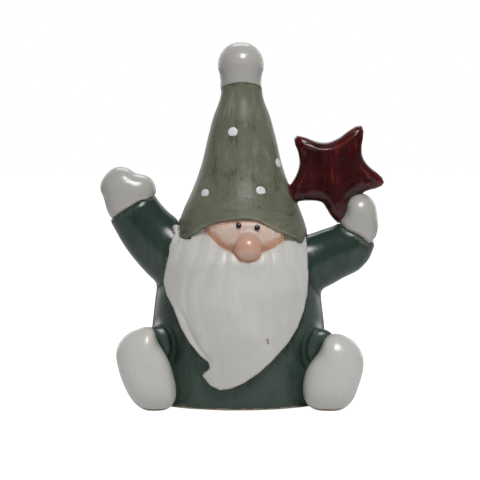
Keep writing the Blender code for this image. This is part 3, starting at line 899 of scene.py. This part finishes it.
# %% Bleed, specks and bare foot groups
def bleed_group():
    group, given, result = new_group(
        "bleed", [("Place", "Vector", None), ("Distance", "Float", 6.0), ("Width", "Float", 0.8),
                  ("Ragged", "Float", 0.6)], [("Mask", "Float")])
    ragged = patchy(group, given["Place"], 2.2 * MM, swing=1.0)
    front = plus_share(group, given["Distance"], ragged, given["Ragged"])
    reach = math_of(group, "DIVIDE", front, given["Width"])
    group.links.new(ramped(group, reach, 0.6, 1.4, 1.0, 0.0), result["Mask"])
    return group


def specks_group():
    group, given, result = new_group(
        "iron_specks", [("Place", "Vector", None), ("Spacing", "Float", 5.0), ("Size", "Float", 0.05)],
        [("Mask", "Float")])
    grid = math_of(group, "DIVIDE", 1.0 / MM, given["Spacing"])
    cells = node(group, "TexVoronoi", {"Vector": given["Place"], "Scale": grid})
    chosen = node(group, "SeparateColor", {"Color": cells.outputs["Color"]}).outputs["Red"]
    size = math_of(group, "MULTIPLY", given["Size"], ramped(group, chosen, 0.55, 1.0))
    left = math_of(group, "SUBTRACT", cells.outputs["Distance"], size)
    group.links.new(ramped(group, left, 0.0, 0.02, 1.0, 0.0), result["Mask"])
    return group


def bare_foot_group():
    group, given, result = new_group(
        "bare_foot", [("Place", "Vector", None), ("Line", "Float", 0.9)], [("Mask", "Float")])
    height = math_of(group, "DIVIDE", height_of(group, given["Place"]), MM)
    above = math_of(group, "ADD", height, patchy(group, given["Place"], 5 * MM, swing=0.3))
    over = math_of(group, "SUBTRACT", above, given["Line"])
    group.links.new(ramped(group, over, -0.15, 0.2, 1.0, 0.0), result["Mask"])
    return group


BLEED = bleed_group()
SPECKS = specks_group()
BARE_FOOT = bare_foot_group()
print("made the groups", BLEED.name, SPECKS.name, BARE_FOOT.name)

# %% [markdown]
# Every glaze ends in the same shader: its colour under a clear gloss, which is the shader's own coat,
# with a fine relief from how thick the glaze lies.

# %% The shader, and values read from a piece
COAT_ROUGHNESS = 0.24
GLASS_IOR = 1.5


def attribute(tree, name):
    return node(tree, "Attribute", attribute_name=name).outputs["Fac"]


def new_material(name):
    material = bpy.data.materials.new(name)
    material.use_nodes = True
    material.node_tree.nodes.clear()
    return material, material.node_tree


def finish_material(tree, colour, rough, height, relief, coat, shine):
    """The shader at the end of every glaze: colour under a clear gloss, with fine relief."""
    bump = node(tree, "Bump", {"Height": height, "Strength": 1.0, "Distance": relief})
    shader = node(tree, "BsdfPrincipled", {
        "Base Color": colour, "Roughness": rough, "Normal": bump.outputs["Normal"], "IOR": GLASS_IOR,
        "Coat Weight": coat, "Coat Roughness": COAT_ROUGHNESS, "Specular IOR Level": shine})
    node(tree, "OutputMaterial", {"Surface": shader.outputs["BSDF"]})


# %% [markdown]
# The brush went down the coat and the cone of the hat, then round the brim, so the streak noise is
# stretched one way or the other. A glaze can also be given painted light towards the ground: its
# low part gets the thin-glaze colour, which on the coat is a lighter painted reflection of the floor
# and on the beard darker painted shade.

# %% Which way the brush went
DOWN = (1.0, 1.0, 0.14)
ROUND = (0.16, 0.16, 1.0)
BRIM_RAGGED, BRIM_SOFT = 3 * MM, 2.5 * MM
BRIM_DULL = 0.12
# Heights between which the painted light towards the ground fades in.
PAINTED_LOW_FROM, PAINTED_LOW_TO = 78 * MM, 38 * MM


def stretched(tree, where, scale):
    return node(tree, "Mapping", {"Vector": where, "Scale": scale}).outputs["Vector"]


def round_the_brim(tree, place, below):
    """1 below a height, with a ragged edge: where the brush turned to go round the brim."""
    ragged = patchy(tree, place, 6 * MM, swing=BRIM_RAGGED)
    level = math_of(tree, "SUBTRACT", math_of(tree, "ADD", height_of(tree, place), ragged), below)
    return ramped(tree, level, -BRIM_SOFT, BRIM_SOFT, 1.0, 0.0)


def bled(tree, place, colour, bleeds):
    """The colour with each neighbour's colour creeping in from its joint."""
    for layer, other, width, strength in bleeds:
        mask = place_group(tree, BLEED, {"Place": place, "Distance": attribute(tree, layer),
                                         "Width": width}).outputs["Mask"]
        colour = mixed(tree, math_of(tree, "MULTIPLY", mask, strength), colour, other)
    return colour


# %% [markdown]
# Each glaze is then a short recipe: its three colours, how strongly the brush shows, and what bleeds
# into it. A bleed names the painted distance, the colour, how many millimetres it creeps, and how
# strong it is.

# %% The glaze recipe
BISCUIT = tone(176, 156, 134)
IRON = tone(70, 58, 46)
SPECK_STRENGTH, SPECK_PIT = 0.7, 0.4
BISCUIT_ROUGH = 0.5


def glaze(name, thin, full, pooled, streaks=0.5, clouds=0.5, mottle=0.25, bleeds=(), specks=0.0,
          bare=False, relief=0.035 * MM, seam_pool_and_shade=0.5, brim=None, painted_low_light=0.0, dull=0.0,
          coat=0.15, shine=0.5):
    """A brushed glaze with its bleeds, specks and, on what stands on the ground, its bare foot."""
    material, tree = new_material(name)
    place = node(tree, "TexCoord").outputs["Object"]
    # The pooled colour goes into the hollows, and along the joints with other pieces, where it is partly
    # glaze pooled in the joint and partly painted shade between the parts.
    pools_and_joint_shade = plus_share(tree, attribute(tree, "hollow"), attribute(tree, "seam"), seam_pool_and_shade)
    strokes = stretched(tree, place, DOWN)
    if brim:
        low_down = round_the_brim(tree, place, brim)
        strokes = node(tree, "Mix", {0: low_down, 4: strokes, 5: stretched(tree, place, ROUND)},
                       data_type="VECTOR").outputs[1]
        dull = plus_share(tree, dull, low_down, BRIM_DULL)
    edge = attribute(tree, "edge")
    # Painted light towards the ground: the low part is pushed to the thin-glaze colour, as painted
    # reflection of the floor on the coat and as painted shade on the beard.
    if painted_low_light:
        low = ramped(tree, height_of(tree, place), PAINTED_LOW_FROM, PAINTED_LOW_TO, 0.0, painted_low_light)
        edge = math_of(tree, "ADD", edge, low)
    base_glaze = place_group(tree, BRUSHED_GLAZE, {
        "Place": place, "Along Brush": strokes, "Thin Colour": thin, "Full Colour": full,
        "Pooled Colour": pooled, "Streaks": streaks, "Clouds": clouds, "Mottle": mottle,
        "Edge": edge, "Hollow": pools_and_joint_shade})
    colour = bled(tree, place, base_glaze.outputs["Color"], bleeds)
    rough = math_of(tree, "ADD", base_glaze.outputs["Roughness"], dull)
    height = base_glaze.outputs["Height"]
    if specks:
        mask = place_group(tree, SPECKS, {"Place": place, "Size": specks}).outputs["Mask"]
        colour = mixed(tree, math_of(tree, "MULTIPLY", mask, SPECK_STRENGTH), colour, IRON)
        height = plus_share(tree, height, mask, -SPECK_PIT)
    if bare:
        mask = place_group(tree, BARE_FOOT, {"Place": place}).outputs["Mask"]
        colour = mixed(tree, mask, colour, BISCUIT)
        rough = plus_share(tree, rough, mask, BISCUIT_ROUGH)
    finish_material(tree, colour, rough, height, relief, coat, shine)
    return material


def dress(pieces, material):
    """Gives some pieces their glaze."""
    for piece in pieces:
        piece.data.materials.clear()
        piece.data.materials.append(material)
    print(material.name, "on", len(pieces), "pieces")


# %% Greens
BRIM_TURN = 89 * MM

# The coat gets lighter towards the ground: a painted reflection of the floor.
pine = glaze("pine_brushed", tone(60, 76, 68), tone(38, 56, 49), tone(24, 42, 37), streaks=0.25,
             clouds=0.6, mottle=0.12, bare=True, dull=-0.08, coat=0.1, shine=0.38, painted_low_light=1.0,
             bleeds=[("near_white", tone(104, 112, 100), 0.5, 0.5)])
sage = glaze("sage_brushed", tone(126, 130, 113), tone(106, 110, 93), tone(80, 84, 66), streaks=0.6,
             clouds=0.7, mottle=0.3, brim=BRIM_TURN, dull=0.02, coat=0.0, shine=0.16,
             bleeds=[("near_face", tone(150, 118, 96), 0.7, 0.55),
                     ("near_red", tone(70, 18, 18), 2.4, 0.9),
                     ("near_pompom", tone(64, 66, 50), 0.9, 0.7)])
dress([body], pine)
dress([hat], sage)

# %% Whites
WHITE_POOLED = tone(192, 192, 186)
COAT_TINGE = tone(150, 142, 122)
SPECK_SIZE = 0.035
PLAIN = {"streaks": 0.1, "mottle": 0.1, "specks": SPECK_SIZE, "coat": 0.6,
         "bleeds": [("near_coat", COAT_TINGE, 0.45, 0.55)]}

white = glaze("white_brushed", tone(201, 196, 184), tone(200, 199, 194), WHITE_POOLED, bare=True, **PLAIN)
# The beard gets darker towards the ground: painted shade.
beard_white = glaze("beard_white", tone(195, 193, 187), tone(205, 204, 199), WHITE_POOLED,
                    streaks=0.1, clouds=0.45, mottle=0.08, specks=SPECK_SIZE, dull=0.06, coat=0.05,
                    painted_low_light=0.8,
                    bleeds=[("near_coat", COAT_TINGE, 0.45, 0.6),
                            ("near_fleck", tone(92, 80, 62), 0.38, 0.8),
                            ("near_face", tone(212, 176, 154), 0.9, 0.75),
                            ("near_nose", tone(200, 156, 134), 1.0, 0.85)])
# The pompom and the mittens have a greyer copy of the white glaze: painted shade, as they stand high, away
# from the light that the floor throws up.
shaded_white = glaze("shaded_white", tone(178, 173, 164), tone(176, 174, 169), tone(160, 158, 152),
                     **PLAIN)
enamel_white = glaze("dot_enamel", tone(214, 214, 218), tone(228, 228, 232), tone(206, 206, 210),
                     streaks=0.2, clouds=0.3, mottle=0.3, seam_pool_and_shade=0.2)
dress([beard], beard_white)
dress(feet, white)
dress(mittens + [pompom], shaded_white)
dress(dots, enamel_white)

# %% Flesh and black
FLESH_THIN, FLESH_POOLED = tone(222, 206, 197), tone(200, 148, 120)

flesh = glaze("flesh_brushed", FLESH_THIN, tone(214, 190, 176), FLESH_POOLED, streaks=0.3,
              clouds=0.6, mottle=0.3, seam_pool_and_shade=0.6, dull=0.14, coat=0.0, shine=0.4,
              bleeds=[("near_white", FLESH_POOLED, 3.2, 0.8),
                      ("near_hat", tone(212, 166, 142), 1.4, 0.6),
                      ("near_eye", tone(226, 214, 206), 0.45, 0.7)])
nose_flesh = glaze("nose_brushed", FLESH_THIN, tone(204, 158, 136), FLESH_POOLED, streaks=0.2,
                   clouds=0.6, mottle=0.3, seam_pool_and_shade=1.2, dull=0.03, coat=0.7)
black = glaze("black_enamel_drop", tone(26, 26, 28), tone(10, 10, 11), tone(6, 6, 7), streaks=0.1,
              clouds=0.3, mottle=0.3, coat=0.0)
dress([face], flesh)
dress([nose], nose_flesh)
dress(eyes, black)

# %% Cherry red and bare clay
cherry = glaze("cherry_brushed", tone(96, 15, 12), tone(54, 3, 6), tone(36, 2, 6), streaks=0.7,
               clouds=0.7, mottle=0.2, dull=-0.1, shine=0.36,
               bleeds=[("near_white", tone(120, 90, 84), 0.4, 0.5)])
biscuit = glaze("bare_biscuit_clay", tone(190, 172, 150), BISCUIT, tone(150, 130, 108), streaks=0.2,
                clouds=0.7, mottle=0.7, specks=0.05, relief=0.2 * MM, coat=0.0)
dress([star], cherry)
dress([base], biscuit)

# %% [markdown]
# ## Studio
# Glazed ware is shown in white surroundings, because it mirrors them. The floor is plain and pale.
# The camera sees it near white all over, but it throws light up on the figurine only from near by,
# as a small table would.

# %% Floor
FLOOR_SIDE = 12.0
FLOOR_DROP = 0.02 * MM
TABLE_REACH = (0.34, 0.62)
TABLE_WHITE, BEYOND_WHITE = 0.85, 0.12
SEEN_GLOW, SEEN_WHITE = 0.95, 0.38


def make_floor():
    work = bmesh.new()
    bmesh.ops.create_grid(work, x_segments=1, y_segments=1, size=FLOOR_SIDE / 2)
    floor = new_piece("studio_floor", work)
    floor.location.z = -FLOOR_DROP
    material, tree = new_material("studio_floor")
    place = node(tree, "TexCoord").outputs["Object"]
    away = node(tree, "VectorMath", {0: place}, operation="LENGTH").outputs["Value"]
    paper = node(tree, "BsdfDiffuse", {"Color": ramped(tree, away, *TABLE_REACH, TABLE_WHITE, BEYOND_WHITE)})
    glow = node(tree, "Emission", {"Color": (1.0, 1.0, 1.0, 1.0), "Strength": SEEN_GLOW})
    seen_paper = node(tree, "BsdfDiffuse", {"Color": (SEEN_WHITE, SEEN_WHITE, SEEN_WHITE, 1.0)})
    seen = node(tree, "AddShader", {0: glow.outputs[0], 1: seen_paper.outputs[0]})
    camera_ray = node(tree, "LightPath").outputs["Is Camera Ray"]
    both = node(tree, "MixShader", {0: camera_ray, 1: paper.outputs[0], 2: seen.outputs[0]})
    node(tree, "OutputMaterial", {"Surface": both.outputs[0]})
    floor.data.materials.append(material)


make_floor()

# %% Surroundings
ROOM_TURN = (0.0, 0.9)
ROOM_FRONT, ROOM_BACK = 0.22, 0.65


def make_surroundings():
    """A room that is dim in front and brighter behind, and white where the camera looks past."""
    world = bpy.data.worlds.new("white_room")
    world.use_nodes = True
    tree = world.node_tree
    tree.nodes.clear()
    towards = node(tree, "TexCoord").outputs["Generated"]
    backward = node(tree, "SeparateXYZ", {0: towards}).outputs["Y"]
    room = ramped(tree, backward, *ROOM_TURN, ROOM_FRONT, ROOM_BACK)
    camera_ray = node(tree, "LightPath").outputs["Is Camera Ray"]
    strength = math_of(tree, "MAXIMUM", camera_ray, room)
    light = node(tree, "Background", {"Color": (1.0, 1.0, 1.0, 1.0), "Strength": strength})
    node(tree, "OutputWorld", {"Surface": light.outputs[0]})
    bpy.context.scene.world = world


make_surroundings()

# %% [markdown]
# One key lamp hangs high in front. Two tall, dim panels behind and to the sides give the pale rims,
# and a broad one high behind fills the back. All are ellipses, because a square panel would leave
# square highlights on the gloss.

# %% Lamps
TARGET = Vector((0.0, 0.0, 0.075))


def soft_panel(name, around, height, distance, width, tall, brightness):
    """A soft lamp aimed at the figurine. around is in degrees from the front towards the viewer's right."""
    turn, rise = math.radians(around), math.radians(height)
    lamp = bpy.data.lights.new(name, "AREA")
    lamp.shape = "ELLIPSE"
    lamp.size, lamp.size_y = width, tall
    lamp.energy = brightness * math.pi * width * tall * math.pi / 4
    panel = bpy.data.objects.new(name, lamp)
    away = Vector((math.sin(turn) * math.cos(rise), -math.cos(turn) * math.cos(rise), math.sin(rise)))
    panel.location = TARGET + away * distance
    panel.rotation_euler = (-away).to_track_quat("-Z", "Y").to_euler()
    panel.visible_camera = False
    bpy.context.collection.objects.link(panel)
    print(name, "gives", round(lamp.energy, 2), "watts")


soft_panel("key", 12, 49, distance=0.95, width=0.40, tall=0.34, brightness=16.5)
soft_panel("left_rim", -145, 12, distance=0.9, width=0.50, tall=0.7, brightness=0.6)
soft_panel("right_rim", 145, 12, distance=0.9, width=0.50, tall=0.7, brightness=0.6)
soft_panel("back_fill", 180, 52, distance=1.2, width=0.8, tall=0.5, brightness=2.5)

# %% [markdown]
# The camera stands a metre away and slightly high, with a long lens, so there is little perspective.

# %% Camera
EYE = Vector((-0.0004, -1.0, 0.120))
LOOK_AT = Vector((-0.0004, 0.0, 0.0725))
lens = bpy.data.cameras.new("camera")
lens.sensor_width = 36.0
lens.lens = 169.7
lens.clip_start = 0.01
camera = bpy.data.objects.new("camera", lens)
camera.location = EYE
camera.rotation_euler = (LOOK_AT - EYE).to_track_quat("-Z", "Y").to_euler()
bpy.context.collection.objects.link(camera)
bpy.context.scene.camera = camera
bpy.context.scene.view_settings.view_transform = "Standard"
print("camera", round((LOOK_AT - EYE).length, 3), "m from what it looks at")

# %% Finish
bpy.context.view_layer.update()
